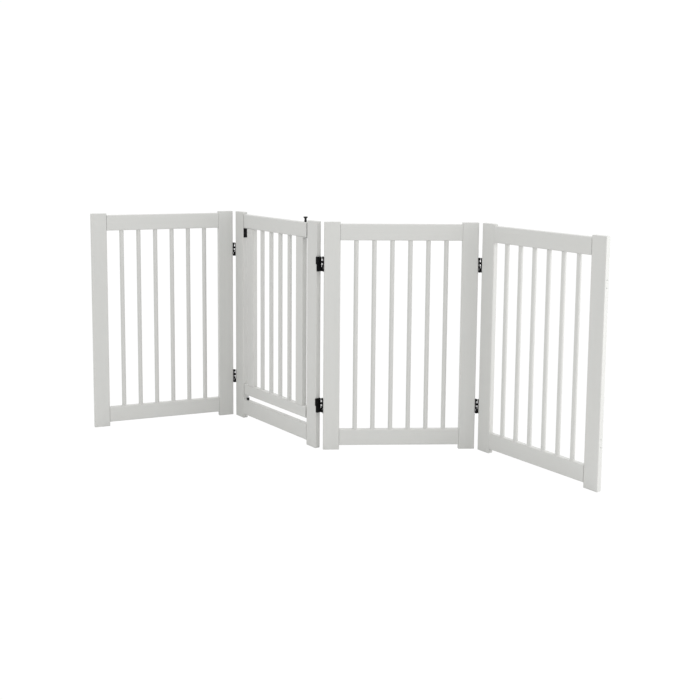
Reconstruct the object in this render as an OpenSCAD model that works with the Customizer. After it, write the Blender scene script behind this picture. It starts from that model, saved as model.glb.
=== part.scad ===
// Free-standing folding pet gate: four slatted wooden panels in a zig-zag,
// joined by double-action hinges, with a swinging door in the second panel.
// Every panel is drawn in its own frame: X along the panel from its left end,
// Y through the board from the front face, Z up from the floor.

/* [Panels] */
// Height of the stiles
gate_h = 762; // [700:1:900]
// Width of each panel
panel_w = 508; // [500:1:600]
// Thickness of every board
board_t = 19; // [19:0.5:22]
// Width of the panel stiles
stile_w = 54; // [50:1:60]
// Height of the panel rails
rail_h = 54; // [50:1:58]
// Step down from the stile tops to the top rails
top_step = 6; // [3:0.5:12]
// Gap from the floor to the bottom rails
floor_gap = 15; // [10:0.5:25]
// Radius along the long edges of every board
edge_r = 3; // [1.5:0.25:4]
// Diameter of the round bars
bar_d = 15; // [12:0.5:15]
// Bars in a plain panel
bar_count = 6; // [4:1:7]
// Depth of the bars in the rails
bar_socket = 8; // [5:0.5:12]

/* [Door] */
// Gap between the door rails and the frame at each end
door_gap = 5; // [4.5:0.25:6]
// Distance from the frame to the door's pivot axis
pivot_in = 16; // [16:0.25:18]
// Gap from the frame to the door stiles
door_slot = 25; // [24:0.5:34]
// Width of the door stiles
door_stile_w = 40.5; // [34:0.5:45]
// Height of the door's top rail
door_top_h = 50; // [44:1:56]
// Height of the door's bottom rail
door_bottom_h = 39; // [36:1:50]
// Height of the threshold rail
threshold_h = 55; // [50:1:60]
// Gap over the threshold
door_clear = 20.5; // [15:0.5:28]
// Step down from the stile tops to the door's top rail
door_step = 7.5; // [5:0.5:12]
// Bars in the door
door_bars = 4; // [3:1:5]

/* [Latch] */
// Diameter of the latch bolt
bolt_d = 5; // [4:0.25:5]
// Height of the knob over the door's top rail, bolt raised
knob_lift = 18; // [17:0.5:22]
// Diameter of the knob
knob_d = 15; // [12:0.5:18]
// Distance from the door's free end to the bolt
bolt_in = 17; // [16:0.25:18]

/* [Hinges] */
// Gap between two panels in line
hinge_gap = 12; // [12:0.25:14]
// Height of a hinge
hinge_h = 48; // [46:1:54]
// Thickness of the leaves
leaf_t = 1.6; // [1.4:0.1:1.8]
// Diameter of the hinge pins
pin_d = 3; // [2.5:0.25:3.25]
// Distance of the pins' axes from the board faces
pin_proud = 1; // [0.75:0.25:1.5]
// Height of the upper hinge centres
hinge_high = 622; // [560:1:640]
// Height of the lower hinge centres
hinge_low = 147; // [125:1:180]

/* [Pose] */
// Fold between panels 1 and 2
fold_12 = 74.1; // [0:0.1:100]
// Fold between panels 2 and 3
fold_23 = 55.1; // [0:0.1:100]
// Fold between panels 3 and 4
fold_34 = 55.9; // [0:0.1:100]

/* [Hidden] */

$fn = 32;
e = 0.01;
white = [0.93, 0.93, 0.91];
black = [0.07, 0.07, 0.07];
steel = [0.72, 0.73, 0.74];
raw = [0.82, 0.70, 0.52];

mid = board_t / 2;
fit = 0.02;                               // glued and pressed joints
run = 0.05;                               // turning joints
knuckle_r = 3.3;
pin_r = pin_d / 2;
far = hinge_gap - knuckle_r;              // pin axis to the panel on its far side
half = hinge_gap / 2;
back_n = board_t + pin_proud;             // depth of the back pins
hinge_z = [hinge_low, hinge_high];
screw_dz = 12;                            // hinge screws above and below the centre
screw_r = 1.6;
screw_l = 18;
joint_d = 8;
joint_l = 30;

top_z1 = gate_h - top_step;
top_z0 = top_z1 - rail_h;
bot_z0 = floor_gap;
bot_z1 = bot_z0 + rail_h;
in_w = panel_w - 2 * stile_w;

thr_z1 = floor_gap + threshold_h;
door_z0 = thr_z1 + door_clear;
door_z1 = gate_h - door_step;
drail_u0 = stile_w + door_gap;
drail_u1 = panel_w - stile_w - door_gap;
dst_z0 = door_z0 + door_bottom_h;
dst_z1 = door_z1 - door_top_h;
dst_l = stile_w + door_slot;
dst_r = panel_w - stile_w - door_slot - door_stile_w;
pivot_u = stile_w + pivot_in;
pivot_r = 3;
collar_h = 9;
bolt_u = drail_u1 - bolt_in;
bolt_tip = dst_z1 + 0.5;
stem_r = 4.2;
stem_z0 = door_z1 - 11.5;
knob_z1 = door_z1 + knob_lift;

// Where the panels stand, with panel 3 along X
function turned(a, v) = [cos(a) * v[0] - sin(a) * v[1], sin(a) * v[0] + cos(a) * v[1]];
yaw3 = 0;
yaw2 = yaw3 - fold_23;
yaw1 = yaw2 + fold_12;
yaw4 = yaw3 - fold_34;
o3 = [0, 0];
o2 = o3 + turned(yaw3, [-knuckle_r, back_n]) - turned(yaw2, [panel_w + far, back_n]);
o1 = o2 + turned(yaw2, [-far, -pin_proud]) - turned(yaw1, [panel_w + knuckle_r, -pin_proud]);
o4 = o3 + turned(yaw3, [panel_w + knuckle_r, -pin_proud]) - turned(yaw4, [-far, -pin_proud]);
// Outermost points of the rounded stile corners
function corner(o, a, u, n) = o + turned(a, [u, n]);
c_in = edge_r;
c_out = panel_w - edge_r;
b_in = board_t - edge_r;
x_min = min([for (n = [c_in, b_in]) corner(o1, yaw1, c_in, n)[0]]) - edge_r;
x_max = max([for (n = [c_in, b_in]) corner(o4, yaw4, c_out, n)[0]]) + edge_r;
y_min = min([for (n = [c_in, b_in]) corner(o4, yaw4, c_out, n)[1]]) - edge_r;
y_max = max(corner(o1, yaw1, c_out, b_in)[1], corner(o2, yaw2, c_in, b_in)[1]) + edge_r;
shift = [-(x_min + x_max) / 2, -(y_min + y_max) / 2];

module place(o, a) { translate([o[0] + shift[0], o[1] + shift[1], 0]) rotate([0, 0, a]) children(); }
module panel_1() { place(o1, yaw1) children(); }
module panel_2() { place(o2, yaw2) children(); }
module panel_3() { place(o3, yaw3) children(); }
module panel_4() { place(o4, yaw4) children(); }

// A rectangle with round corners, from the origin
module round_rect(w, h, r) {
  translate([r, 0]) square([w - 2 * r, h]);
  translate([0, r]) square([w, h - 2 * r]);
  for (x = [r, w - r], y = [r, h - r]) translate([x, y]) circle(r);
}
// Boards: upright, and lying along X
module upright(w, h) { linear_extrude(h) round_rect(w, board_t, edge_r); }
module lying(len, h) { rotate([90, 0, 90]) linear_extrude(len) round_rect(board_t, h, edge_r); }
// Pegs along X and Z
module peg_x(r, l) { rotate([0, 90, 0]) cylinder(r = r, h = l); }
module peg_z(r, l) { cylinder(r = r, h = l); }

// Joint dowel heights for a rail between two stiles
function rail_pegs(z0, h) = [z0 + h / 2 - 14, z0 + h / 2 + 14];
top_pegs = rail_pegs(top_z0, rail_h);
bot_pegs = rail_pegs(bot_z0, rail_h);
thr_pegs = [floor_gap + 11, floor_gap + 30];
module side_pegs(us, zs, r, l) {
  for (u = us, z = zs) translate([u - l / 2, mid, z]) peg_x(r, l);
}

// Wood screws that hold a hinge leaf: pilot bores in an edge at u, going dir (1 or -1)
module pilots(u, dir, r, l) {
  for (hz = hinge_z, s = [-1, 1])
    translate([dir > 0 ? u - e : u - l, mid, hz + s * screw_dz]) peg_x(r, l + e);
}

module stile(u, pegs, pegs_u, hinge_side) {
  difference() {
    translate([u, 0, 0]) upright(stile_w, gate_h);
    side_pegs([pegs_u], pegs, joint_d / 2 + fit, joint_l + 1);
    if (hinge_side != 0) pilots(hinge_side > 0 ? panel_w : 0, -hinge_side, screw_r + fit, screw_l + 1);
  }
}
module left_stile(pegs, hinged) { color(white) stile(0, pegs, stile_w, hinged ? -1 : 0); }
module right_stile(pegs, hinged) { color(white) stile(panel_w - stile_w, pegs, panel_w - stile_w, hinged ? 1 : 0); }

// Bars shared out with equal clear gaps between two stiles
function bar_u(u0, w, n, i) = u0 + (w - n * bar_d) / (n + 1) * (i + 1) + bar_d * (i + 0.5);
module bar_set(u0, w, n, z0, z1, r) {
  for (i = [0:n - 1]) translate([bar_u(u0, w, n, i), mid, z0]) peg_z(r, z1 - z0);
}
module rail(z0, h, pegs) {
  color(white) difference() {
    translate([stile_w, 0, z0]) lying(in_w, h);
    side_pegs([stile_w, panel_w - stile_w], pegs, joint_d / 2 + fit, joint_l + 1);
    bar_set(stile_w, in_w, bar_count, bot_z1 - bar_socket - 1, top_z0 + bar_socket + 1, bar_d / 2 + fit);
  }
}
module top_rail() { rail(top_z0, rail_h, top_pegs); }
module bottom_rail() { rail(bot_z0, rail_h, bot_pegs); }
module panel_bars() { color(white) bar_set(stile_w, in_w, bar_count, bot_z1 - bar_socket, top_z0 + bar_socket, bar_d / 2); }
module panel_pegs() { color(raw) side_pegs([stile_w, panel_w - stile_w], concat(top_pegs, bot_pegs), joint_d / 2, joint_l); }
four_pegs = concat(top_pegs, bot_pegs);

// Frame of the door panel
module bracket_pilots(u, dir, zs, l) {
  for (z = zs) translate([dir > 0 ? u - e : u - l, mid, z]) peg_x(1.5 + fit, l + e);
}
pb_z1 = dst_z1 - 0.6;                     // top of the pivot bracket
pb_screws = [pb_z1 - 27, pb_z1 - 12];
sp_z1 = dst_z1 - 0.9;                     // top of the strike plate
sp_screws = [sp_z1 - 22, sp_z1 - 10];
module door_frame_left() {
  color(white) difference() {
    stile(0, thr_pegs, stile_w, -1);
    bracket_pilots(stile_w, -1, pb_screws, 15);
  }
}
module door_frame_right() {
  color(white) difference() {
    stile(panel_w - stile_w, thr_pegs, panel_w - stile_w, 1);
    bracket_pilots(panel_w - stile_w, 1, sp_screws, 15);
  }
}
module threshold() {
  color(white) difference() {
    translate([stile_w, 0, floor_gap]) lying(in_w, threshold_h);
    side_pegs([stile_w, panel_w - stile_w], thr_pegs, joint_d / 2 + fit, joint_l + 1);
    translate([pivot_u, mid, thr_z1 - 18]) peg_z(pivot_r + fit, 19);
  }
}

// Door
door_peg_us = [for (u = [dst_l, dst_r], s = [-9, 9]) u + door_stile_w / 2 + s];
module door_pegs(r, l) {
  for (u = door_peg_us, z = [dst_z0, dst_z1]) translate([u, mid, z - l / 2]) peg_z(r, l);
}
module door_stile(u) {
  color(white) difference() {
    translate([u, 0, dst_z0]) upright(door_stile_w, dst_z1 - dst_z0);
    door_pegs(joint_d / 2 + fit, joint_l + 1);
  }
}
dopen_u = dst_l + door_stile_w;
dopen_w = dst_r - dopen_u;
module door_rail(z0, h) {
  difference() {
    translate([drail_u0, 0, z0]) lying(drail_u1 - drail_u0, h);
    door_pegs(joint_d / 2 + fit, joint_l + 1);
    bar_set(dopen_u, dopen_w, door_bars, dst_z0 - bar_socket - 1, dst_z1 + bar_socket + 1, bar_d / 2 + fit);
  }
}
module door_top_rail() {
  color(white) difference() {
    door_rail(dst_z1, door_top_h);
    translate([pivot_u, mid, dst_z1 - e]) peg_z(pivot_r + run, 20);
    translate([bolt_u, mid, dst_z1 - e]) peg_z(bolt_d / 2 + 0.08, door_top_h);
    translate([bolt_u, mid, stem_z0 - 12]) peg_z(stem_r + 0.1, 30);
  }
}
module door_bottom_rail() {
  color(white) difference() {
    door_rail(door_z0, door_bottom_h);
    translate([pivot_u, mid, door_z0 - e]) peg_z(pivot_r + run, 20);
  }
}
module door_bar_set() { color(white) bar_set(dopen_u, dopen_w, door_bars, dst_z0 - bar_socket, dst_z1 + bar_socket, bar_d / 2); }

// Door hardware
// A countersunk wood screw along -X or +X, its head's outer face at u
module screw(u, z, dir, r, head_r, head_h, l) {
  translate([u, mid, z]) rotate([0, dir > 0 ? 90 : -90, 0]) difference() {
    union() {
      cylinder(r1 = head_r, r2 = r, h = head_h);
      cylinder(r = r, h = l - 3);
      translate([0, 0, l - 3]) cylinder(r1 = r, r2 = 0.3, h = 3);
    }
    for (a = [0, 90]) rotate([0, 0, a]) translate([-head_r * 0.55, -0.4, -e]) cube([head_r * 1.1, 0.8, 1]);
  }
}
pb_t = 2;
pb_w = 16;
module top_pivot_bracket() {
  color(black) difference() {
    union() {
      // upright leg on the frame, 34 high
      translate([stile_w, mid - pb_w / 2, pb_z1 - 34]) cube([pb_t, pb_w, 34]);
      // leg under the rail, with a round end
      translate([stile_w, mid - pb_w / 2, pb_z1 - pb_t]) cube([pivot_in, pb_w, pb_t]);
      translate([pivot_u, mid, pb_z1 - pb_t]) cylinder(r = pb_w / 2, h = pb_t);
    }
    translate([pivot_u, mid, pb_z1 - pb_t - 1]) peg_z(pivot_r + fit, pb_t + 2);
    for (z = pb_screws) translate([stile_w, mid, z]) {
      translate([-1, 0, 0]) peg_x(1.7, pb_t + 2);
      translate([pb_t - 1.6, 0, 0]) rotate([0, 90, 0]) cylinder(r1 = 1.7, r2 = 3.3, h = 1.6 + e);
    }
  }
}
module top_pivot_pin() {
  color(black) translate([pivot_u, mid, 0]) {
    translate([0, 0, pb_z1 - pb_t]) peg_z(pivot_r, 19);
    translate([0, 0, pb_z1 - pb_t - 1.5]) peg_z(4.5, 1.5);
  }
}
module top_pivot_screws() { color(black) for (z = pb_screws) screw(stile_w + pb_t, z, -1, 1.5, 3.1, 1.6, 16); }
// The door stands on the pin's upper end, and the collar steadies the pin on the threshold
module bottom_pivot_pin() { color(steel) translate([pivot_u, mid, thr_z1 - 17]) peg_z(pivot_r, 17 + door_clear + 19.95); }
module bottom_pivot_collar() {
  color(black) translate([pivot_u, mid, thr_z1]) difference() {
    peg_z(5, collar_h);
    translate([0, 0, -1]) peg_z(pivot_r + fit, collar_h + 2);
  }
}
sp_u0 = bolt_u - 1.5;
sp_t = 1.6;
sp_w = 12;
// An angle with a fork that the bolt drops into
module strike_plate() {
  color(steel) difference() {
    union() {
      translate([panel_w - stile_w - sp_t, mid - sp_w / 2, sp_z1 - 29]) cube([sp_t, sp_w, 29]);
      translate([sp_u0, mid - sp_w / 2, sp_z1 - sp_t]) cube([panel_w - stile_w - sp_u0, sp_w, sp_t]);
    }
    translate([bolt_u, mid, sp_z1 - sp_t - 1]) peg_z(bolt_d / 2 + 0.4, sp_t + 2);
    translate([bolt_u - 10, mid - bolt_d / 2 - 0.4, sp_z1 - sp_t - 1]) cube([10, bolt_d + 0.8, sp_t + 2]);
    for (z = sp_screws) translate([panel_w - stile_w - sp_t - 1, mid, z]) {
      peg_x(1.7, sp_t + 2);
      translate([1 - e, 0, 0]) rotate([0, 90, 0]) cylinder(r1 = 3.3, r2 = 1.7, h = 1.6);
    }
  }
}
module strike_screws() { color(steel) for (z = sp_screws) screw(panel_w - stile_w - sp_t, z, 1, 1.5, 3.1, 1.6, 16); }
module latch_bolt() { color(steel) translate([bolt_u, mid, 0]) rotate_extrude() polygon([[0, bolt_tip], [bolt_d / 2 - 1, bolt_tip], [bolt_d / 2, bolt_tip + 1], [bolt_d / 2, knob_z1 - 7], [0, knob_z1 - 7]]); }
module latch_knob() {
  color(black) translate([bolt_u, mid, 0]) difference() {
    rotate_extrude() polygon([[0, stem_z0], [stem_r, stem_z0], [stem_r, door_z1 + 5.5], [stem_r - 0.8, door_z1 + 8.5], [stem_r - 0.8, knob_z1 - 8], [stem_r, knob_z1 - 6], [knob_d / 2 - 0.6, knob_z1 - 2.8], [knob_d / 2, knob_z1 - 2.2], [knob_d / 2, knob_z1 - 0.8], [knob_d / 2 - 0.8, knob_z1], [0, knob_z1]]);
    translate([0, 0, stem_z0 - 1]) peg_z(bolt_d / 2 + fit, knob_z1 - 7 - stem_z0 + 1);
  }
}

// Double-action hinges, drawn about the middle of the gap between two closed panels. One pin has a long
// barrel of four spaced knuckles, and the other a short barrel of three in the hinge's upper half.
// The long barrel is on the side that opens in the stored pose: at the front of hinges 12 and 34, and at
// the back of hinge 23, which is the same hinge turned end for end.
hh = hinge_h / 2;
kc = 0.1;                                 // end play of each knuckle
pu = half - knuckle_r;                    // pin axes from the middle of the gap
gap_z = [-17, -10, -3, 3, 10, 17];        // where the long barrel's knuckles end
long_side = [[gap_z[5], hh], [gap_z[1], gap_z[2]]];
long_mid = [[gap_z[3], gap_z[4]], [-hh, gap_z[0]]];
long_side_strap = [[gap_z[4] + 0.2, hh], [gap_z[1], gap_z[2]]];
long_mid_tab = [[gap_z[3], gap_z[4]], [-hh, gap_z[1] - 0.2]];
short_side = [[kc, 8 - kc], [16 + kc, hh]];
short_mid = [[8 + kc, 16 - kc]];
module knuckle(u, n, z, bore) {
  translate([u, n, z[0]]) difference() {
    cylinder(r = knuckle_r, h = z[1] - z[0]);
    translate([0, 0, -1]) cylinder(r = bore, h = z[1] - z[0] + 2);
  }
}
// A leaf plate: outline in (n, z), from u0 towards +X
module plate(u0) { translate([u0, 0, 0]) rotate([90, 0, 90]) linear_extrude(leaf_t) children(); }
module leaf_outline(n0, n1) { translate([n0, -hh]) round_rect(n1 - n0, hinge_h, 1.5); }
module tab(u0, n0, len, z) { translate([u0, n0, z[0]]) cube([leaf_t, len, z[1] - z[0]]); }
// The leaf on a panel's edge: knuckles at the front, over the left panel's end
module side_leaf(knuckles, straps, others) {
  difference() {
    union() {
      plate(-half) difference() {
        leaf_outline(0.5, board_t - 0.5);
        for (z = others) translate([-pin_proud, z[0] - 0.2]) square([knuckle_r + 0.5, z[1] - z[0] + 0.4]);
      }
      for (z = knuckles) knuckle(-pu, -pin_proud, z, pin_r + run);
      for (z = straps) tab(-half, -pin_proud, pin_proud + 3, z);
    }
    for (s = [-1, 1]) translate([-half, mid, s * screw_dz]) rotate([0, 90, 0]) {
      translate([0, 0, -1]) cylinder(r = 1.8, h = leaf_t + 2);
      translate([0, 0, leaf_t - 1.4]) cylinder(r1 = 1.8, r2 = 3.3, h = 1.4 + e);
    }
    translate([-pu, -pin_proud, -hh]) cylinder(r = pin_r + run, h = hinge_h);
  }
}
module long_leaf() { side_leaf(long_side, long_side_strap, long_mid); }
module short_leaf() { side_leaf(short_side, short_side, short_mid); }
// The middle leaf: long barrel at the front left, short barrel at the back right
module middle_leaf() {
  clear_n = knuckle_r + 0.3;
  difference() {
    union() {
      plate(-leaf_t / 2) difference() {
        leaf_outline(clear_n - pin_proud, board_t - 0.5);
        // room for the back knuckles
        translate([back_n - clear_n, -0.3]) square([clear_n, hh + 1]);
      }
      for (z = long_mid) knuckle(-pu, -pin_proud, z, pin_r);
      for (z = long_mid_tab) tab(-leaf_t / 2, -pin_proud, clear_n + 2.5, z);
      for (z = short_mid) {
        knuckle(pu, back_n, z, pin_r);
        tab(-leaf_t / 2, back_n - clear_n - 0.5, clear_n + 0.5, z);
      }
    }
    translate([-pu, -pin_proud, -hh]) cylinder(r = pin_r, h = hinge_h);
    translate([pu, back_n, -hh]) cylinder(r = pin_r, h = hinge_h);
  }
}
// Turned end for end about the middle of the gap
module turn_end() { translate([0, board_t, 0]) rotate([0, 0, 180]) children(); }
// A pin with a thin domed head at each end
module hinge_pin(z0, z1) {
  translate([0, 0, z0]) cylinder(r = pin_r, h = z1 - z0);
  translate([0, 0, z1]) cylinder(r1 = pin_r + 0.9, r2 = pin_r + 0.3, h = 0.8);
  translate([0, 0, z0 - 0.8]) cylinder(r1 = pin_r + 0.3, r2 = pin_r + 0.9, h = 0.8);
}
module at_hinges(u) { for (z = hinge_z) translate([u, 0, z]) children(); }
right_gap = panel_w + half;
left_gap = -half;
module long_leaf_left() { color(black) at_hinges(right_gap) long_leaf(); }
module short_leaf_left() { color(black) at_hinges(right_gap) short_leaf(); }
module long_leaf_right() { color(black) at_hinges(left_gap) turn_end() long_leaf(); }
module short_leaf_right() { color(black) at_hinges(left_gap) turn_end() short_leaf(); }
module middle_front_long(u) { color(black) at_hinges(u) middle_leaf(); }
module middle_back_long(u) { color(black) at_hinges(u) turn_end() middle_leaf(); }
module front_pins(u, z0) { color(black) at_hinges(u) translate([-pu, -pin_proud, 0]) hinge_pin(z0, hh); }
module back_pins(u, z0) { color(black) at_hinges(u) translate([pu, back_n, 0]) hinge_pin(z0, hh); }
module screws_left() { color(black) for (hz = hinge_z, s = [-1, 1]) screw(panel_w + leaf_t, hz + s * screw_dz, -1, screw_r, 3.1, 1.4, leaf_t + screw_l); }
module screws_right() { color(black) for (hz = hinge_z, s = [-1, 1]) screw(-leaf_t, hz + s * screw_dz, 1, screw_r, 3.1, 1.4, leaf_t + screw_l); }

module panel_2_joint_dowels() { color(raw) side_pegs([stile_w, panel_w - stile_w], thr_pegs, joint_d / 2, joint_l); }
// The free end of panel 4 is bored for the hinges of one more panel
module end_stile() { right_stile(four_pegs, true); }

panel_1() left_stile(four_pegs, false);  // panel_1_left_stile
panel_1() right_stile(four_pegs, true);  // panel_1_right_stile
panel_1() top_rail();  // panel_1_top_rail
panel_1() bottom_rail();  // panel_1_bottom_rail
panel_1() panel_bars();  // panel_1_bars
panel_1() panel_pegs();  // panel_1_joint_dowels
panel_2() door_frame_left();  // panel_2_left_stile
panel_2() door_frame_right();  // panel_2_right_stile
panel_2() threshold();  // panel_2_threshold
panel_2() panel_2_joint_dowels();
panel_2() door_stile(dst_l);  // door_left_stile
panel_2() door_stile(dst_r);  // door_right_stile
panel_2() door_top_rail();
panel_2() door_bottom_rail();
panel_2() door_bar_set();  // door_bars
panel_2() color(raw) door_pegs(joint_d / 2, joint_l);  // door_joint_dowels
panel_2() top_pivot_bracket();
panel_2() top_pivot_pin();
panel_2() top_pivot_screws();
panel_2() bottom_pivot_pin();
panel_2() bottom_pivot_collar();
panel_2() strike_plate();
panel_2() strike_screws();
panel_2() latch_bolt();
panel_2() latch_knob();
panel_3() left_stile(four_pegs, true);  // panel_3_left_stile
panel_3() right_stile(four_pegs, true);  // panel_3_right_stile
panel_3() top_rail();  // panel_3_top_rail
panel_3() bottom_rail();  // panel_3_bottom_rail
panel_3() panel_bars();  // panel_3_bars
panel_3() panel_pegs();  // panel_3_joint_dowels
panel_4() left_stile(four_pegs, true);  // panel_4_left_stile
panel_4() end_stile();  // panel_4_right_stile
panel_4() top_rail();  // panel_4_top_rail
panel_4() bottom_rail();  // panel_4_bottom_rail
panel_4() panel_bars();  // panel_4_bars
panel_4() panel_pegs();  // panel_4_joint_dowels
panel_1() long_leaf_left();  // hinge_12_panel_1_leaves
panel_2() middle_front_long(left_gap);  // hinge_12_middle_leaves
panel_2() short_leaf_right();  // hinge_12_panel_2_leaves
panel_2() front_pins(left_gap, -hh);  // hinge_12_front_pins
panel_2() back_pins(left_gap, 0);  // hinge_12_back_pins
panel_1() screws_left();  // hinge_12_panel_1_screws
panel_2() screws_right();  // hinge_12_panel_2_screws
panel_2() short_leaf_left();  // hinge_23_panel_2_leaves
panel_2() middle_back_long(right_gap);  // hinge_23_middle_leaves
panel_3() long_leaf_right();  // hinge_23_panel_3_leaves
panel_2() front_pins(right_gap, 0);  // hinge_23_front_pins
panel_2() back_pins(right_gap, -hh);  // hinge_23_back_pins
panel_2() screws_left();  // hinge_23_panel_2_screws
panel_3() screws_right();  // hinge_23_panel_3_screws
panel_3() long_leaf_left();  // hinge_34_panel_3_leaves
panel_4() middle_front_long(left_gap);  // hinge_34_middle_leaves
panel_4() short_leaf_right();  // hinge_34_panel_4_leaves
panel_4() front_pins(left_gap, -hh);  // hinge_34_front_pins
panel_4() back_pins(left_gap, 0);  // hinge_34_back_pins
panel_3() screws_left();  // hinge_34_panel_3_screws
panel_4() screws_right();  // hinge_34_panel_4_screws
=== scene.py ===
import math
import random

import bpy
import bmesh
from mathutils import Matrix, Vector


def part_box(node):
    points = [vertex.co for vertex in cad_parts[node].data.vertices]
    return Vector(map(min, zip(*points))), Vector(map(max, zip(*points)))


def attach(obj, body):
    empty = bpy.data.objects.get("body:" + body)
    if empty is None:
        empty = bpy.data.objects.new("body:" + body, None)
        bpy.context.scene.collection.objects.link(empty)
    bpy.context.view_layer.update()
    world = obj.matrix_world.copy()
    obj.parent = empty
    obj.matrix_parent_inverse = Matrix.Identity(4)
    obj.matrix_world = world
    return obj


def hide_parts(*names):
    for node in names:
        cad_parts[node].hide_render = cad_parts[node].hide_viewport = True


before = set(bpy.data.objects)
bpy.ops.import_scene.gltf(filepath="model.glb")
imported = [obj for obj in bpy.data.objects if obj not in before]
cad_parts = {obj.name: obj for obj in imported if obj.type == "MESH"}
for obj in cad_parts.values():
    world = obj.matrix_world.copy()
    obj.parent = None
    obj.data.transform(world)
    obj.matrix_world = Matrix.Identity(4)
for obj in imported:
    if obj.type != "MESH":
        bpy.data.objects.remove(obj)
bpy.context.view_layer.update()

# ---------------------------------------------------------------- the gate's layout, in mm
W, T, H = 508.0, 19.0, 762.0            # panel width, board thickness, stile height
SW = 54.0                               # stile width
FOLD = (74.1, 55.1, 55.9)
E, GAP, PP = 3.3, 12.0, 1.0             # barrel radius, gap of a closed joint, how far the pins stand proud
FAR, HALF, BACK = GAP - E, GAP / 2, T + PP
PU = HALF - E
HZ = (147.0, 622.0)                     # hinge centres
MID = T / 2


def rot(a, v):
    a = math.radians(a)
    return Vector((math.cos(a) * v[0] - math.sin(a) * v[1], math.sin(a) * v[0] + math.cos(a) * v[1]))


YAW = {3: 0.0}
YAW[2] = YAW[3] - FOLD[1]
YAW[1] = YAW[2] + FOLD[0]
YAW[4] = YAW[3] - FOLD[2]
ORG = {3: Vector((0, 0))}
ORG[2] = ORG[3] + rot(YAW[3], (-E, BACK)) - rot(YAW[2], (W + FAR, BACK))
ORG[1] = ORG[2] + rot(YAW[2], (-FAR, -PP)) - rot(YAW[1], (W + E, -PP))
ORG[4] = ORG[3] + rot(YAW[3], (W + E, -PP)) - rot(YAW[4], (-FAR, -PP))
# panel 3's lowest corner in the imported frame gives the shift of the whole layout
b3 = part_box("panel_3_left_stile")[0]
SHIFT = Vector((b3.x * 1000, b3.y * 1000))


def panel(k):
    o = ORG[k] + SHIFT
    return Matrix.Translation((o.x / 1000, o.y / 1000, 0)) @ Matrix.Rotation(math.radians(YAW[k]), 4, "Z")


PANEL = {k: panel(k) for k in (1, 2, 3, 4)}
MM = Matrix.Scale(0.001, 4)

# ---------------------------------------------------------------- materials


def nodes_of(name, color, rough, **fixed):
    m = bpy.data.materials.new(name)
    m.use_nodes = True
    nt = m.node_tree
    b = nt.nodes["Principled BSDF"]
    b.inputs["Base Color"].default_value = (*color, 1)
    b.inputs["Roughness"].default_value = rough
    for k, v in fixed.items():
        b.inputs[k.replace("_", " ")].default_value = v
    return m, nt, b


def new(nt, kind, **props):
    n = nt.nodes.new(kind)
    for k, v in props.items():
        if k in n.inputs:
            n.inputs[k].default_value = v
        else:
            setattr(n, k, v)
    return n


def link(nt, a, b):
    nt.links.new(a, b)


def grain_vector(nt, scale):
    """The board's own coordinates, X along the grain, in metres, stretched by scale."""
    at = new(nt, "ShaderNodeAttribute", attribute_name="grain")
    mp = new(nt, "ShaderNodeMapping")
    mp.inputs["Scale"].default_value = scale
    link(nt, at.outputs["Vector"], mp.inputs["Vector"])
    return mp.outputs["Vector"]


def noise(nt, vec, scale, detail=3.0, rough=0.5, distortion=0.0):
    n = new(nt, "ShaderNodeTexNoise")
    n.inputs["Scale"].default_value = scale
    n.inputs["Detail"].default_value = detail
    n.inputs["Roughness"].default_value = rough
    n.inputs["Distortion"].default_value = distortion
    link(nt, vec, n.inputs["Vector"])
    return n.outputs["Fac"]


def ramp(nt, fac, a, b, ca, cb):
    r = new(nt, "ShaderNodeMapRange")
    r.inputs["From Min"].default_value = a
    r.inputs["From Max"].default_value = b
    r.inputs["To Min"].default_value = ca
    r.inputs["To Max"].default_value = cb
    link(nt, fac, r.inputs["Value"])
    return r.outputs["Result"]


def math_node(nt, op, a, b):
    n = new(nt, "ShaderNodeMath", operation=op)
    for i, v in enumerate((a, b)):
        if isinstance(v, (int, float)):
            n.inputs[i].default_value = v
        else:
            link(nt, v, n.inputs[i])
    return n.outputs[0]


def mix(nt, fac, a, b, blend="MIX"):
    n = new(nt, "ShaderNodeMix", data_type="RGBA", blend_type=blend)
    if isinstance(fac, (int, float)):
        n.inputs[0].default_value = fac
    else:
        link(nt, fac, n.inputs[0])
    for i, v in ((6, a), (7, b)):
        if isinstance(v, tuple):
            n.inputs[i].default_value = (*v, 1)
        else:
            link(nt, v, n.inputs[i])
    return n.outputs[2]


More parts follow.
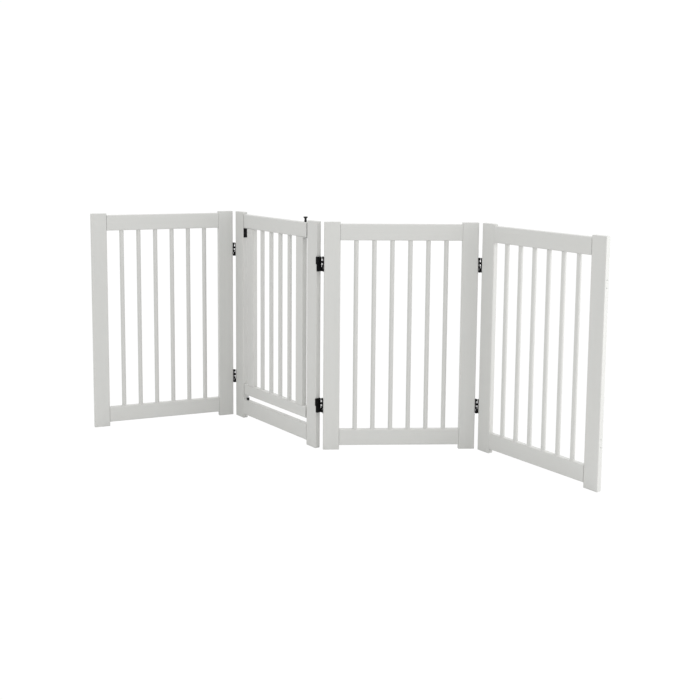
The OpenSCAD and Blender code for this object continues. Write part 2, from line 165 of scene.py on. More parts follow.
def painted_wood():
    m, nt, b = nodes_of("painted_wood", PAINT, 0.42, Specular_IOR_Level=0.42, Coat_Weight=0.12, Coat_Roughness=0.3)
    fine = grain_vector(nt, (14, 420, 420))
    broad = grain_vector(nt, (1.6, 38, 38))
    soft = grain_vector(nt, (9, 9, 9))
    pores = noise(nt, fine, 1.0, 4, 0.6, 0.4)
    bands = noise(nt, broad, 1.0, 3, 0.55, 1.2)
    cloud = noise(nt, soft, 1.0, 3, 0.5)
    brush = noise(nt, grain_vector(nt, (30, 900, 900)), 1.0, 2, 0.5)
    peel = noise(nt, grain_vector(nt, (520, 520, 520)), 1.0, 2, 0.5)
    # colour: growth bands under the paint, darker pores, slow warm and cool drifts
    c = mix(nt, ramp(nt, bands, 0.35, 0.65, 0, 1), PAINT_DARK, PAINT)
    c = mix(nt, ramp(nt, pores, 0.55, 0.75, 0, 0.22), c, PAINT_PORE)
    c = mix(nt, ramp(nt, cloud, 0.35, 0.7, 0, 0.35), c, PAINT_WARM)
    # rubbed edges: the long arrises are slightly thinner in paint
    ed = new(nt, "ShaderNodeAttribute", attribute_name="edge")
    wear = math_node(nt, "MULTIPLY", ed.outputs["Fac"], ramp(nt, noise(nt, grain_vector(nt, (40, 160, 160)), 1.0, 3, 0.6), 0.5, 0.75, 0, 0.5))
    c = mix(nt, wear, c, PAINT_WEAR)
    link(nt, c, b.inputs["Base Color"])
    r = math_node(nt, "ADD", ramp(nt, cloud, 0.3, 0.7, 0.36, 0.46), ramp(nt, pores, 0.4, 0.8, -0.03, 0.10))
    link(nt, r, b.inputs["Roughness"])
    h = math_node(nt, "ADD", math_node(nt, "MULTIPLY", pores, -0.5), math_node(nt, "MULTIPLY", bands, 0.35))
    h = math_node(nt, "ADD", h, math_node(nt, "MULTIPLY", brush, 0.18))
    h = math_node(nt, "ADD", h, math_node(nt, "MULTIPLY", peel, 0.12))
    bp = new(nt, "ShaderNodeBump")
    bp.inputs["Strength"].default_value = 0.35
    bp.inputs["Distance"].default_value = 0.00022
    link(nt, h, bp.inputs["Height"])
    link(nt, bp.outputs["Normal"], b.inputs["Normal"])
    return m


def raw_wood():
    m, nt, b = nodes_of("raw_wood", (0.62, 0.43, 0.24), 0.6)
    n = noise(nt, grain_vector(nt, (12, 500, 500)), 1.0, 4, 0.6)
    link(nt, mix(nt, n, (0.45, 0.29, 0.15), (0.72, 0.52, 0.31)), b.inputs["Base Color"])
    bp = new(nt, "ShaderNodeBump")
    bp.inputs["Strength"].default_value = 0.5
    bp.inputs["Distance"].default_value = 0.0002
    link(nt, n, bp.inputs["Height"])
    link(nt, bp.outputs["Normal"], b.inputs["Normal"])
    return m


def black(name, base, rough, spec, metal_wear):
    m, nt, b = nodes_of(name, base, rough, Specular_IOR_Level=spec)
    v = grain_vector(nt, (1, 1, 1))
    grit = noise(nt, v, 1800, 3, 0.6)
    blot = noise(nt, v, 130, 3, 0.55)
    c = mix(nt, ramp(nt, blot, 0.3, 0.7, 0, 1), tuple(x * 0.75 for x in base), tuple(x * 1.45 for x in base))
    if metal_wear:
        ed = new(nt, "ShaderNodeAttribute", attribute_name="edge")
        w = math_node(nt, "MULTIPLY", ed.outputs["Fac"], ramp(nt, noise(nt, v, 420, 3, 0.6), 0.56, 0.72, 0, 0.55))
        c = mix(nt, w, c, (0.06, 0.058, 0.056))
    link(nt, c, b.inputs["Base Color"])
    link(nt, ramp(nt, grit, 0.3, 0.7, rough - 0.08, rough + 0.12), b.inputs["Roughness"])
    bp = new(nt, "ShaderNodeBump")
    bp.inputs["Strength"].default_value = 0.3
    bp.inputs["Distance"].default_value = 0.00008
    link(nt, grit, bp.inputs["Height"])
    link(nt, bp.outputs["Normal"], b.inputs["Normal"])
    return m


def plated():
    m, nt, b = nodes_of("plated_steel", (0.62, 0.63, 0.64), 0.3, Metallic=1.0)
    v = grain_vector(nt, (1, 1, 1))
    streak = noise(nt, grain_vector(nt, (60, 2600, 2600)), 1.0, 3, 0.6)
    blot = noise(nt, v, 160, 3, 0.5)
    link(nt, mix(nt, blot, (0.50, 0.51, 0.53), (0.74, 0.74, 0.73)), b.inputs["Base Color"])
    link(nt, ramp(nt, streak, 0.3, 0.7, 0.24, 0.42), b.inputs["Roughness"])
    bp = new(nt, "ShaderNodeBump")
    bp.inputs["Strength"].default_value = 0.25
    bp.inputs["Distance"].default_value = 0.00005
    link(nt, streak, bp.inputs["Height"])
    link(nt, bp.outputs["Normal"], b.inputs["Normal"])
    return m


PAINT = (0.575, 0.577, 0.560)
PAINT_DARK = (0.562, 0.564, 0.547)
PAINT_PORE = (0.505, 0.504, 0.484)
PAINT_WARM = (0.578, 0.576, 0.550)
PAINT_WEAR = (0.505, 0.496, 0.465)
M = {
    "painted_wood": painted_wood(),
    "raw_wood": raw_wood(),
    "black_metal": black("black_metal", (0.0055, 0.0055, 0.006), 0.50, 0.10, True),
    "black_plastic": black("black_plastic", (0.006, 0.006, 0.006), 0.46, 0.3, False),
    "plated_steel": plated(),
}

# ---------------------------------------------------------------- mesh code


def ring_loft(bm, rings, close_start=True, close_end=True):
    """Faces between rings of equal length; every ring is a list of points."""
    vs = [[bm.verts.new(p) for p in ring] for ring in rings]
    n = len(vs[0])
    for a, b in zip(vs, vs[1:]):
        for i in range(n):
            j = (i + 1) % n
            bm.faces.new((a[i], a[j], b[j], b[i]))
    if close_start:
        bm.faces.new(list(reversed(vs[0])))
    if close_end:
        bm.faces.new(vs[-1])
    return vs


def rounded_outline(x0, y0, x1, y1, r, seg=5, inset=0.0):
    """Counter-clockwise outline of a rounded rectangle, all corners with the same number of points."""
    x0, y0, x1, y1 = x0 + inset, y0 + inset, x1 - inset, y1 - inset
    r = max(r - inset, 0.05)
    pts = []
    for cx, cy, a0 in ((x1 - r, y0 + r, -90), (x1 - r, y1 - r, 0), (x0 + r, y1 - r, 90), (x0 + r, y0 + r, 180)):
        for k in range(seg + 1):
            a = math.radians(a0 + 90 * k / seg)
            pts.append((cx + r * math.cos(a), cy + r * math.sin(a)))
    return pts


def ease_steps(L, er, seg=3):
    """(distance along, inset) pairs with both ends eased by er."""
    s = [(er * (1 - math.cos(math.radians(90 * k / seg))), er * (1 - math.sin(math.radians(90 * k / seg)))) for k in range(seg + 1)]
    return s + [(L - d, i) for d, i in reversed(s)]


def mesh_object(name, bm, mat, smooth=35.0, grain_axis=2, weighted=True):
    bmesh.ops.remove_doubles(bm, verts=bm.verts, dist=1e-5)
    bmesh.ops.recalc_face_normals(bm, faces=bm.faces)
    me = bpy.data.meshes.new(name)
    bm.to_mesh(me)
    bm.free()
    rnd = random.Random(sum(ord(c) * (i + 7) for i, c in enumerate(name)))
    off = [rnd.uniform(0, 40) for _ in range(3)]
    order = {0: (0, 1, 2), 1: (1, 2, 0), 2: (2, 0, 1)}[grain_axis]
    g = me.attributes.new("grain", "FLOAT_VECTOR", "POINT")
    vals = []
    for v in me.vertices:
        vals += [v.co[order[i]] / 1000 + off[i] for i in range(3)]
    g.data.foreach_set("vector", vals)
    if "edge" not in me.attributes:
        ea = me.attributes.new("edge", "FLOAT", "POINT")
        ea.data.foreach_set("value", [0.0] * len(me.vertices))
    me.transform(MM)
    for p in me.polygons:
        p.use_smooth = True
    me.set_sharp_from_angle(angle=math.radians(smooth))
    me.materials.append(M[mat])
    ob = bpy.data.objects.new(name, me)
    bpy.context.scene.collection.objects.link(ob)
    if weighted:
        w = ob.modifiers.new("weighted", "WEIGHTED_NORMAL")
        w.keep_sharp = True
        w.mode = "FACE_AREA"
    return ob


def mark_edges(bm, test):
    lay = bm.verts.layers.float.new("edge")
    for v in bm.verts:
        v[lay] = 1.0 if test(v.co) else 0.0


def put(ob, k, body, slot, *stands_for, local=None):
    """Places a piece drawn in panel k's frame and rides it on its body."""
    ob.matrix_world = PANEL[k] @ (Matrix.Translation(Vector(local) / 1000) if local else Matrix.Identity(4))
    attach(ob, body)
    if stands_for:
        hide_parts(*stands_for)
    return ob


ER = 0.9                                # eased end edges
R = 3.0                                 # rounded long edges


def board(name, lo, hi, axis, er=ER, stations=14):
    """A board with rounded long edges and eased ends, from corner lo to corner hi, its grain along axis 0 or 2."""
    bm = bmesh.new()
    L = hi[axis] - lo[axis]
    steps = ease_steps(L, er)
    mids = [(L * k / stations, 0.0) for k in range(1, stations)]
    steps = sorted(steps + [m for m in mids if er * 1.5 < m[0] < L - er * 1.5])
    rings = []
    for d, inset in steps:
        if axis == 2:
            ring = [(x, y, lo[2] + d) for x, y in rounded_outline(lo[0], lo[1], hi[0], hi[1], R, 5, inset)]
        else:
            ring = [(lo[0] + d, y, z) for y, z in rounded_outline(lo[1], lo[2], hi[1], hi[2], R, 5, inset)]
        rings.append(ring)
    ring_loft(bm, rings)
    a, b = (0, 1) if axis == 2 else (1, 2)

    def corner(co):
        return min(co[a] - lo[a], hi[a] - co[a]) < R * 0.8 and min(co[b] - lo[b], hi[b] - co[b]) < R * 0.8

    mark_edges(bm, corner)
    return mesh_object(name, bm, "painted_wood", 50, axis)


def bores(ob, cuts):
    """Cuts round holes into a board: (point, direction, radius, depth), in mm in the panel's frame."""
    for i, (p, d, r, depth) in enumerate(cuts):
        bm = bmesh.new()
        bmesh.ops.create_cone(bm, cap_ends=True, segments=28, radius1=r, radius2=r, depth=depth + 4)
        q = Vector((0, 0, 1)).rotation_difference(Vector(d)).to_matrix().to_4x4()
        bm.transform(MM @ Matrix.Translation(Vector(p) + Vector(d) * (depth / 2 - 2)) @ q)
        me = bpy.data.meshes.new("cut")
        bm.to_mesh(me)
        bm.free()
        c = bpy.data.objects.new("cut", me)
        bpy.context.scene.collection.objects.link(c)
        bpy.context.view_layer.update()
        c.matrix_world = ob.matrix_world.copy()
        bpy.context.view_layer.update()
        mod = ob.modifiers.new("bore", "BOOLEAN")
        mod.object = c
        mod.operation = "DIFFERENCE"
        mod.solver = "EXACT"
        # the bore comes before the weighted normals
        bpy.context.view_layer.objects.active = ob
        while ob.modifiers[0].name != mod.name:
            ob.modifiers.move(len(ob.modifiers) - 1, 0)
        with bpy.context.temp_override(object=ob, active_object=ob):
            bpy.ops.object.modifier_apply(modifier=mod.name)
        bpy.data.objects.remove(c)


def lathe(name, profile, mat, centre=(0, 0), seg=48, smooth=35, holes=None):
    """profile is (r, z) from bottom to top, closed on the axis at both ends."""
    bm = bmesh.new()
    rings = []
    for r, z in profile:
        if r < 1e-6:
            continue
        rings.append([(centre[0] + r * math.cos(2 * math.pi * k / seg), centre[1] + r * math.sin(2 * math.pi * k / seg), z) for k in range(seg)])
    ring_loft(bm, rings)
    mark_edges(bm, lambda co: False)
    return mesh_object(name, bm, mat, smooth, 2)


def bars(name, us, z0, z1, r, n=MID, seg=40):
    """Round bars, as one object."""
    bm = bmesh.new()
    for u in us:
        rings = []
        L = z1 - z0
        for k in range(15):
            z = z0 + L * k / 14
            rings.append([(u + r * math.cos(2 * math.pi * i / seg), n + r * math.sin(2 * math.pi * i / seg), z) for i in range(seg)])
        ring_loft(bm, rings)
    mark_edges(bm, lambda co: False)
    return mesh_object(name, bm, "painted_wood", 50, 2)


def fillet_collar(name, us, z_face, up, r, n=MID):
    """The bead of paint where each bar enters a rail."""
    bm = bmesh.new()
    seg = 40
    for u in us:
        rings = []
        for dr, dz in ((0.9, -0.15), (0.85, 0.12), (0.45, 0.3), (0.15, 0.75), (-0.1, 1.2)):
            z = z_face + (dz if up else -dz)
            rings.append([(u + (r + dr) * math.cos(2 * math.pi * i / seg), n + (r + dr) * math.sin(2 * math.pi * i / seg), z) for i in range(seg)])
        ring_loft(bm, rings, False, False)
    mark_edges(bm, lambda co: False)
    return mesh_object(name, bm, "painted_wood", 60, 2, weighted=False)


def pegs(name, spots, axis, r, l, mat="raw_wood"):
    """Dowels centred on spots, chamfered at both ends and fluted."""
    bm = bmesh.new()
    seg = 24
    for s in spots:
        rings = []
        for d, rr in ((0, r - 0.8), (0.9, r), (l - 0.9, r), (l, r - 0.8)):
            ring = []
            for i in range(seg):
                a = 2 * math.pi * i / seg
                q = rr - (0.22 if i % 2 else 0)
                p = [q * math.cos(a), q * math.sin(a), d - l / 2]
                ring.append(Vector(s) + (Vector(p) if axis == 2 else Vector((p[2], p[0], p[1]))))
            rings.append(ring)
        ring_loft(bm, rings)
    mark_edges(bm, lambda co: False)
    return mesh_object(name, bm, mat, 40, axis)


def prism(bm, outline, place, t0, t1, er=0.25, seg=2):
    """A plate from a 2D outline (counter-clockwise, convex enough to inset along its normals), with eased edges."""
    pts = [Vector(p) for p in outline]
    n = len(pts)

    def inset(d):
        out = []
        for i in range(n):
            a, b, c = pts[i - 1], pts[i], pts[(i + 1) % n]
            e1, e2 = (b - a), (c - b)
            n1 = Vector((-e1.y, e1.x)).normalized() if e1.length > 1e-9 else Vector((0, 0))
            n2 = Vector((-e2.y, e2.x)).normalized() if e2.length > 1e-9 else n1
            k = (n1 + n2)
            k = k / max(k.length_squared / 2, 0.35)
            out.append(b + k * d)
        return out

    rings = []
    for d, i in ease_steps(t1 - t0, er, seg):
        rings.append([place(p.x, p.y, t0 + d) for p in inset(i)])
    return ring_loft(bm, rings)


def tube(bm, cu, cn, z0, z1, r, bore, er=0.25, seg=40):
    """A knuckle: an eased tube."""
    prof = [(bore, z0 + er), (bore + er * 0.6, z0), (r - er, z0), (r - er * 0.3, z0 + er * 0.3), (r, z0 + er), (r, z1 - er), (r - er * 0.3, z1 - er * 0.3), (r - er, z1), (bore + er * 0.6, z1), (bore, z1 - er)]
    vs = [[bm.verts.new((cu + rr * math.cos(2 * math.pi * i / seg), cn + rr * math.sin(2 * math.pi * i / seg), z)) for i in range(seg)] for rr, z in prof]
    for a, b in zip(vs, vs[1:] + vs[:1]):
        for i in range(seg):
            j = (i + 1) % seg
            bm.faces.new((a[i], a[j], b[j], b[i]))


HH = 24.0
LT = 1.6
# a long barrel of four spaced knuckles, and a short one of three in the upper half
LONG_SIDE, LONG_MID = ((17, HH), (-10, -3)), ((3, 10), (-HH, -17))
SHORT_SIDE, SHORT_MID = ((0.1, 7.9), (16.1, HH)), ((8.1, 15.9),)


def arc(cx, cy, r, a0, a1, seg=4):
    return [(cx + r * math.cos(math.radians(a0 + (a1 - a0) * k / seg)), cy + r * math.sin(math.radians(a0 + (a1 - a0) * k / seg))) for k in range(seg + 1)]


def side_leaf(long, right):
    """The leaf on a panel's edge, drawn about the gap's middle; right turns it end for end for the right-hand panel."""
    bm = bmesh.new()
    n0, n1, r, cut = 0.5, T - 0.5, 1.5, 2.8
    o = []                                # outline in (n, z), up the back and down the front
    if long:
        o += [(cut, -HH)] + arc(n1 - r, -HH + r, r, 270, 360) + arc(n1 - r, HH - r, r, 0, 90)
        o += [(-PP, HH), (-PP, 10.2), (cut, 10.2), (cut, 2.8), (n0, 2.8), (n0, -3), (-PP, -3), (-PP, -10), (n0, -10), (n0, -16.8), (cut, -16.8)]
        knuckles = LONG_SIDE
    else:
        o += arc(n0 + r, -HH + r, r, 180, 270) + arc(n1 - r, -HH + r, r, 270, 360) + arc(n1 - r, HH - r, r, 0, 90)
        o += [(-PP, HH), (-PP, 16.1), (cut, 16.1), (cut, 7.9), (-PP, 7.9), (-PP, 0.1), (n0, 0.1)]
        knuckles = SHORT_SIDE
    sgn, off = (-1, T) if right else (1, 0)
    prism(bm, o, lambda n, z, t: (sgn * (-HALF + t), off + sgn * n, z), 0, LT, 0.2)
    for z0, z1 in knuckles:
        tube(bm, sgn * -PU, off + sgn * -PP, z0, z1, E, 1.55)
    mark_edges(bm, lambda co: min(abs(co.z - HH), abs(co.z + HH), abs(co.y - n0), abs(co.y - n1)) < 0.3)
    return bm


def middle_leaf(turned):
    bm = bmesh.new()
    n1, r = T - 0.5, 1.5
    fc = E + 0.3 - PP                      # plate stays behind the front knuckles
    bc = BACK - E - 0.3                    # and in front of the back ones
    o = [(-PP, -HH)] + arc(n1 - r, -HH + r, r, 270, 360)
    o += [(n1, -0.3), (bc, -0.3), (bc, 8.1), (BACK, 8.1), (BACK, 15.9), (bc, 15.9), (bc, HH), (fc, HH)]
    o += [(fc, 10), (-PP, 10), (-PP, 3), (fc, 3), (fc, -10.2), (-PP, -10.2)]
    sgn, off = (-1, T) if turned else (1, 0)
    prism(bm, o, lambda n, z, t: (sgn * (-LT / 2 + t), off + sgn * n, z), 0, LT, 0.2)
    for z0, z1 in LONG_MID:
        tube(bm, sgn * -PU, off + sgn * -PP, z0, z1, E, 1.5)
    for z0, z1 in SHORT_MID:
        tube(bm, sgn * PU, off + sgn * BACK, z0, z1, E, 1.5)
    mark_edges(bm, lambda co: min(abs(co.z - HH), abs(co.z + HH)) < 0.3)
    return bm


def both(maker, name, u, mat="black_metal"):
    """The upper and lower copy of a hinge part, placed at u along its panel."""
    bm = bmesh.new()
    for z in HZ:
        one = maker(name)
        one.transform(Matrix.Translation((u, 0, z)))
        me = bpy.data.meshes.new("tmp")
        one.to_mesh(me)
        one.free()
        bm.from_mesh(me)
        bpy.data.meshes.remove(me)
    return mesh_object(name, bm, mat, 40, 2)


def pin_bm(c, z0, z1):
    bm = bmesh.new()
    r = 1.5
    prof = [(0.25, z0 - 0.8), (1.6, z0 - 0.75), (2.2, z0 - 0.45), (2.4, z0 - 0.1), (2.3, z0), (r, z0), (r, z1), (2.3, z1), (2.4, z1 + 0.1), (2.2, z1 + 0.45), (1.6, z1 + 0.75), (0.25, z1 + 0.8)]
    seg = 32
    ring_loft(bm, [[(c[0] + rr * math.cos(2 * math.pi * i / seg), c[1] + rr * math.sin(2 * math.pi * i / seg), z) for i in range(seg)] for rr, z in prof])
    mark_edges(bm, lambda co: False)
    return bm


def screw_bm(head_r, shank_r, head_h, length):
    """A countersunk wood screw along -Z from its head's top at z 0, with a cross recess and a cut thread."""
    bm = bmesh.new()
    seg = 32
    # head: a disc whose top carries a cross recess as real geometry
    a, t = 0.42, head_r * 0.62               # half-width and reach of the recess
    cross = [(t, -a), (t, a), (a, a), (a, t), (-a, t), (-a, a), (-t, a), (-t, -a), (-a, -a), (-a, -t), (a, -t), (a, -a)]
    outer = [bm.verts.new((head_r * 0.97 * math.cos(2 * math.pi * i / seg), head_r * 0.97 * math.sin(2 * math.pi * i / seg), 0)) for i in range(seg)]
    top = [bm.verts.new((x, y, 0)) for x, y in cross]
    low = [bm.verts.new((x * 0.62, y * 0.62, -0.95)) for x, y in cross]
    es = [bm.edges.new((outer[i], outer[(i + 1) % seg])) for i in range(seg)]
    et = [bm.edges.new((top[i], top[(i + 1) % 12])) for i in range(12)]
    bmesh.ops.triangle_fill(bm, edges=es + et, use_beauty=True, use_dissolve=False)
    for i in range(12):
        j = (i + 1) % 12
        bm.faces.new((top[j], top[i], low[i], low[j]))
    bm.faces.new(low)
    prof = [(head_r, -0.12), (shank_r, -head_h)]
    z = -head_h - 2.0
    prof.append((shank_r, z))
    pitch = 1.25
    while z - pitch > -length + 3:
        prof += [(shank_r * 0.72, z - pitch * 0.3), (shank_r, z - pitch * 0.6), (shank_r * 0.72, z - pitch * 0.9)]
        z -= pitch
    prof += [(shank_r * 0.7, -length + 2.6), (0.15, -length)]
    rings = [outer]
    for r, zz in prof:
        rings.append([bm.verts.new((r * math.cos(2 * math.pi * i / seg), r * math.sin(2 * math.pi * i / seg), zz)) for i in range(seg)])
    for p, q in zip(rings, rings[1:]):
        for i in range(seg):
            j = (i + 1) % seg
            bm.faces.new((p[i], p[j], q[j], q[i]))
    bm.faces.new(rings[-1])
    mark_edges(bm, lambda co: co.z > -0.2)
    return bm


def screws(name, spots, direction, head_r, shank_r, head_h, length, mat):
    """Screws with their head tops at spots, driven along direction, each turned by its own angle."""
    bm = bmesh.new()
    rnd = random.Random(len(name) * 31 + int(spots[0][2]))
    for s in spots:
        one = screw_bm(head_r, shank_r, head_h, length)
        q = Vector((0, 0, -1)).rotation_difference(Vector(direction)).to_matrix().to_4x4()
        one.transform(Matrix.Translation(s) @ q @ Matrix.Rotation(rnd.uniform(0, 1.5), 4, "Z"))
        me = bpy.data.meshes.new("tmp")
        one.to_mesh(me)
        one.free()
        bm.from_mesh(me)
        bpy.data.meshes.remove(me)
    return mesh_object(name, bm, mat, 35, 2)


# ---------------------------------------------------------------- the panels
TOP1, TOP0 = H - 6, H - 60
BOT0, BOT1 = 15.0, 69.0
INW = W - 2 * SW


def bar_us(u0, w, n, d=15.0):
    return [u0 + (w - n * d) / (n + 1) * (i + 1) + d * (i + 0.5) for i in range(n)]


def hinge_bores(u, side):
    return [((u, MID, z + s * 12), (side, 0, 0), 1.62, 19) for z in HZ for s in (-1, 1)]


PEG_Z = [TOP0 + 13, TOP0 + 41, BOT0 + 13, BOT0 + 41]
for k in (1, 3, 4):
    body = f"panel_{k}"
    p = f"panel_{k}_"
    left = put(board(p + "left_board", (0, 0, 0), (SW, T, H), 2), k, body, "painted_wood", p + "left_stile")
    right = put(board(p + "right_board", (W - SW, 0, 0), (W, T, H), 2), k, body, "painted_wood", p + "right_stile")
    put(board(p + "top_board", (SW, 0, TOP0), (W - SW, T, TOP1), 0, 0.15), k, body, "painted_wood", p + "top_rail")
    put(board(p + "bottom_board", (SW, 0, BOT0), (W - SW, T, BOT1), 0, 0.15), k, body, "painted_wood", p + "bottom_rail")
    us = bar_us(SW, INW, 6)
    put(bars(p + "round_bars", us, BOT1 - 8, TOP0 + 8, 7.5), k, body, "painted_wood", p + "bars")
    put(fillet_collar(p + "paint_beads_low", us, BOT1, True, 7.5), k, body, "painted_wood")
    put(fillet_collar(p + "paint_beads_high", us, TOP0, False, 7.5), k, body, "painted_wood")
    put(pegs(p + "pegs", [(u, MID, z) for u in (SW, W - SW) for z in PEG_Z], 0, 4, 30), k, body, "raw_wood", p + "joint_dowels")
    if k == 4:
        bores(right, hinge_bores(W, -1))

# panel 2 and its door
k = 2
put(board("panel_2_left_board", (0, 0, 0), (SW, T, H), 2), k, "panel_2", "painted_wood", "panel_2_left_stile")
put(board("panel_2_right_board", (W - SW, 0, 0), (W, T, H), 2), k, "panel_2", "painted_wood", "panel_2_right_stile")
put(board("panel_2_threshold_board", (SW, 0, 15), (W - SW, T, 70), 0, 0.15), k, "panel_2", "painted_wood", "panel_2_threshold")
put(pegs("panel_2_pegs", [(u, MID, z) for u in (SW, W - SW) for z in (26, 45)], 0, 4, 30), k, "panel_2", "raw_wood", "panel_2_joint_dowels")

D0, D1 = 90.5, 754.5                    # door's bottom and top
DS0, DS1 = 129.5, 704.5                 # its stiles' ends
DU0, DU1 = 59.0, 449.0                  # its rails' ends
DL, DR, DW = 79.0, 388.5, 40.5
PIV = 70.0
BOLT = DU1 - 17
top = put(board("door_top_board", (DU0, 0, DS1), (DU1, T, D1), 0), k, "door", "painted_wood", "door_top_rail")
low = put(board("door_bottom_board", (DU0, 0, D0), (DU1, T, DS0), 0), k, "door", "painted_wood", "door_bottom_rail")
bores(top, [((PIV, MID, DS1), (0, 0, 1), 3.05, 20), ((BOLT, MID, DS1), (0, 0, 1), 2.6, 60), ((BOLT, MID, D1), (0, 0, -1), 4.3, 23.5)])
bores(low, [((PIV, MID, D0), (0, 0, 1), 3.05, 20)])
put(board("door_left_board", (DL, 0, DS0), (DL + DW, T, DS1), 2, 0.15), k, "door", "painted_wood", "door_left_stile")
put(board("door_right_board", (DR, 0, DS0), (DR + DW, T, DS1), 2, 0.15), k, "door", "painted_wood", "door_right_stile")
dus = bar_us(DL + DW, DR - DL - DW, 4)
put(bars("door_round_bars", dus, DS0 - 8, DS1 + 8, 7.5), k, "door", "painted_wood", "door_bars")
put(fillet_collar("door_paint_beads_low", dus, DS0, True, 7.5), k, "door", "painted_wood")
put(fillet_collar("door_paint_beads_high", dus, DS1, False, 7.5), k, "door", "painted_wood")
put(pegs("door_pegs", [(u + DW / 2 + s, MID, z) for u in (DL, DR) for s in (-9, 9) for z in (DS0, DS1)], 2, 4, 30), k, "door", "raw_wood", "door_joint_dowels")

# ---------------------------------------------------------------- pivots
PB1 = DS1 - 0.6


def bracket():
    """The top pivot bracket: a bent strap with a round nose."""
    bm = bmesh.new()
    w, t, h = 16.0, 2.0, 34.0
    z1 = PB1
    # the upright leg
    o = rounded_outline(MID - w / 2, z1 - h, MID + w / 2, z1, 1.5, 4)
    prism(bm, o, lambda y, z, d: (SW + d, y, z), 0, t, 0.25)
    # the leg under the rail
    o = [(SW, MID - w / 2)] + [(PIV + w / 2 * math.cos(a), MID + w / 2 * math.sin(a)) for a in [math.radians(-90 + 180 * i / 16) for i in range(17)]] + [(SW, MID + w / 2)]
    prism(bm, o, lambda x, y, d: (x, y, z1 - t + d), 0, t, 0.25)
    mark_edges(bm, lambda co: abs(co.y - MID) > w / 2 - 0.4)
    return mesh_object("pivot_bracket", bm, "black_metal", 40, 2)


put(bracket(), k, "panel_2", "black_metal", "top_pivot_bracket")
put(lathe("pivot_pin_top", [(3.6, PB1 - 3.5), (4.3, PB1 - 3.3), (4.5, PB1 - 2.9), (4.5, PB1 - 2.0), (3.0, PB1 - 2.0), (3.0, PB1 + 16.4), (2.5, PB1 + 17)], "black_metal", (PIV, MID)), k, "panel_2", "black_metal", "top_pivot_pin")
put(screws("pivot_bracket_screws", [(SW + 2, MID, PB1 - 27), (SW + 2, MID, PB1 - 12)], (-1, 0, 0), 3.1, 1.5, 1.6, 16, "black_metal"), k, "panel_2", "black_metal", "top_pivot_screws")
put(lathe("pivot_pin_low", [(2.5, 53), (3.0, 53.6), (3.0, 109.85), (2.5, 110.4)], "plated_steel", (PIV, MID)), k, "panel_2", "plated_steel", "bottom_pivot_pin")
SP = 79.0


def collar():
    bm = bmesh.new()
    tube(bm, PIV, MID, 70, SP, 5, 3.03, 0.5)
    mark_edges(bm, lambda co: False)
    return mesh_object("pivot_collar", bm, "black_plastic", 40, 2)


put(collar(), k, "panel_2", "black_plastic", "bottom_pivot_collar")

# ---------------------------------------------------------------- latch
ST1 = DS1 - 0.9


def strike():
    bm = bmesh.new()
    w, t = 12.0, 1.6
    u0, u1 = BOLT - 1.5, W - SW
    prism(bm, rounded_outline(MID - w / 2, ST1 - 29, MID + w / 2, ST1, 1.0, 4), lambda y, z, d: (u1 - t + d, y, z), 0, t, 0.2)
    # the shelf, forked for the bolt
    hr, c = 2.9, 1.0
    o = [(u0, MID + hr), (BOLT, MID + hr)] + [(BOLT + hr * math.cos(q), MID + hr * math.sin(q)) for q in [math.radians(90 - 180 * i / 14) for i in range(1, 14)]]
    o += [(BOLT, MID - hr), (u0, MID - hr), (u0, MID - w / 2 + c), (u0 + c, MID - w / 2), (u1, MID - w / 2), (u1, MID + w / 2), (u0 + c, MID + w / 2), (u0, MID + w / 2 - c)]
    prism(bm, o, lambda x, y, d: (x, y, ST1 - t + d), 0, t, 0.15)
    mark_edges(bm, lambda co: False)
    return mesh_object("latch_strike", bm, "plated_steel", 35, 2)


put(strike(), k, "panel_2", "plated_steel", "strike_plate")
put(screws("latch_strike_screws", [(W - SW - 1.6, MID, ST1 - 22), (W - SW - 1.6, MID, ST1 - 10)], (1, 0, 0), 3.1, 1.5, 1.6, 16, "plated_steel"), k, "panel_2", "plated_steel", "strike_screws")
KN = D1 + 18
put(lathe("latch_rod", [(1.2, DS1 + 0.5), (1.7, DS1 + 0.62), (2.2, DS1 + 1.0), (2.5, DS1 + 1.6), (2.5, KN - 7.2)], "plated_steel", (BOLT, MID)), k, "latch", "plated_steel", "latch_bolt")
put(lathe("latch_button", [(2.55, D1 - 11.5), (3.9, D1 - 11.5), (4.2, D1 - 11.2), (4.2, D1 + 4.6), (4.1, D1 + 5.6), (3.75, D1 + 6.9), (3.45, D1 + 8.2), (3.4, D1 + 9.2), (3.5, D1 + 10.4), (3.9, D1 + 11.6), (4.7, D1 + 12.9), (5.8, D1 + 14.1), (6.7, D1 + 15.0), (7.2, D1 + 15.5), (7.45, D1 + 16.0), (7.5, D1 + 16.5), (7.42, D1 + 17.1), (7.15, D1 + 17.55), (6.6, D1 + 17.85), (5.8, D1 + 18), (1.5, D1 + 18)], "black_plastic", (BOLT, MID), 56, 60), k, "latch", "black_plastic", "latch_knob")

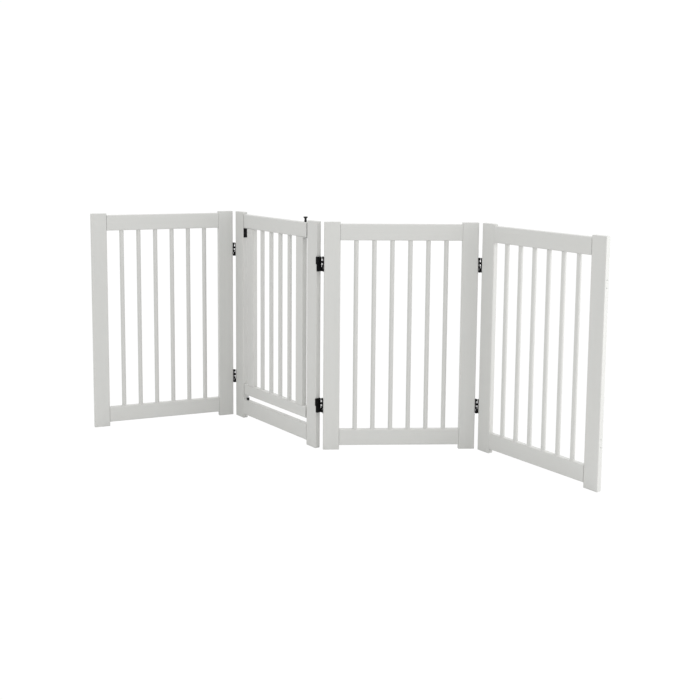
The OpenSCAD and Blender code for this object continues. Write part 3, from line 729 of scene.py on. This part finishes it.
# ---------------------------------------------------------------- hinges
for a, b, owner in ((1, 2, 2), (2, 3, 2), (3, 4, 4)):
    h = f"hinge_{a}{b}"
    mid_body = f"hinge_{a}{b}_middle"
    back_long = h == "hinge_23"           # this hinge stands turned end for end
    put(both(lambda n: side_leaf(not back_long, False), h + "_left_plates", W + HALF), a, f"panel_{a}", "black_metal", f"{h}_panel_{a}_leaves")
    put(both(lambda n: side_leaf(back_long, True), h + "_right_plates", -HALF), b, f"panel_{b}", "black_metal", f"{h}_panel_{b}_leaves")
    u = -HALF if owner == b else W + HALF
    put(both(lambda n: middle_leaf(back_long), h + "_middle_plates", u), owner, mid_body, "black_metal", h + "_middle_leaves")
    put(both(lambda n: pin_bm((-PU, -PP), 0 if back_long else -HH, HH), h + "_front_rods", u), owner, mid_body, "black_metal", h + "_front_pins")
    put(both(lambda n: pin_bm((PU, BACK), -HH if back_long else 0, HH), h + "_back_rods", u), owner, mid_body, "black_metal", h + "_back_pins")
    zs = [z + s * 12 for z in HZ for s in (-1, 1)]
    put(screws(f"{h}_left_screws", [(W + LT, MID, z) for z in zs], (-1, 0, 0), 3.1, 1.6, 1.4, 19.4, "black_metal"), a, f"panel_{a}", "black_metal", f"{h}_panel_{a}_screws")
    put(screws(f"{h}_right_screws", [(-LT, MID, z) for z in zs], (1, 0, 0), 3.1, 1.6, 1.4, 19.4, "black_metal"), b, f"panel_{b}", "black_metal", f"{h}_panel_{b}_screws")

# ---------------------------------------------------------------- floor, light, camera
fl = bpy.data.materials.new("floor")
fl.use_nodes = True
fb = fl.node_tree.nodes["Principled BSDF"]
fb.inputs["Base Color"].default_value = (0.80, 0.80, 0.80, 1)
fb.inputs["Roughness"].default_value = 0.9
fb.inputs["Specular IOR Level"].default_value = 0.0


def seen_white(nt, shader, out, socket):
    """Plain white to the camera, and the given shader to every other ray."""
    lp = nt.nodes.new("ShaderNodeLightPath")
    mx = nt.nodes.new("ShaderNodeMixShader")
    em = nt.nodes.new("ShaderNodeEmission" if socket == "floor" else "ShaderNodeBackground")
    em.inputs["Color"].default_value = (1, 1, 1, 1)
    em.inputs["Strength"].default_value = 1.02
    nt.links.new(lp.outputs["Is Camera Ray"], mx.inputs[0])
    nt.links.new(shader, mx.inputs[1])
    nt.links.new(em.outputs[0], mx.inputs[2])
    nt.links.new(mx.outputs[0], out.inputs["Surface"])


seen_white(fl.node_tree, fb.outputs[0], fl.node_tree.nodes["Material Output"], "floor")
bm = bmesh.new()
bmesh.ops.create_grid(bm, x_segments=1, y_segments=1, size=40)
me = bpy.data.meshes.new("floor")
bm.to_mesh(me)
bm.free()
me.materials.append(fl)
floor = bpy.data.objects.new("floor", me)
bpy.context.scene.collection.objects.link(floor)

w = bpy.data.worlds.new("studio")
bpy.context.scene.world = w
w.use_nodes = True
w.node_tree.nodes["Background"].inputs["Color"].default_value = (1, 1, 1, 1)
w.node_tree.nodes["Background"].inputs["Strength"].default_value = 1.12
seen_white(w.node_tree, w.node_tree.nodes["Background"].outputs[0], w.node_tree.nodes["World Output"], "world")


def area(name, loc, target, size, power):
    d = bpy.data.lights.new(name, "AREA")
    d.shape = "RECTANGLE"
    d.size, d.size_y = size
    d.energy = power
    o = bpy.data.objects.new(name, d)
    o.location = loc
    o.rotation_euler = (Vector(target) - Vector(loc)).to_track_quat("-Z", "Y").to_euler()
    bpy.context.scene.collection.objects.link(o)
    return o


area("overhead", (0.3, 0.2, 4.2), (0, 0, 0.3), (4.5, 4.5), 22)
area("right_soft", (2.1, -0.9, 0.75), (0.8, -0.3, 0.4), (1.2, 1.4), 12)

# camera: measured in panel 3's frame
cam_d = bpy.data.cameras.new("camera")
cam_d.sensor_width = 36
cam_d.lens = 36 * 1022.635 / 700
cam_d.shift_x = -(353.516 - 350) / 700
cam_d.shift_y = (251.315 - 350) / 700
cam_d.clip_start, cam_d.clip_end = 0.05, 200
cam = bpy.data.objects.new("camera", cam_d)
yaw0 = math.radians(2.98)
# the fitted camera stands at (0, 0, 1051.4) and panel 3's corner at (-95.9, 3310.7), turned by 2.98 degrees
rel = rot(-2.98, (95.9, -3310.7)) + SHIFT
pitch, roll = 0.1156, 0.0096
fwd = Vector((math.sin(yaw0) * math.cos(pitch), math.cos(yaw0) * math.cos(pitch), -math.sin(pitch)))
right_v = Vector((math.cos(yaw0), -math.sin(yaw0), 0))
up_v = right_v.cross(fwd)
m3 = Matrix((right_v, up_v, -fwd)).transposed()
m3 = m3 @ Matrix.Rotation(roll, 3, "Z")
cam.matrix_world = Matrix.Translation((rel.x / 1000, rel.y / 1000, 1.0514)) @ m3.to_4x4()
bpy.context.scene.collection.objects.link(cam)
bpy.context.scene.camera = cam
bpy.context.scene.view_settings.view_transform = "Standard"
bpy.context.scene.view_settings.look = "None"
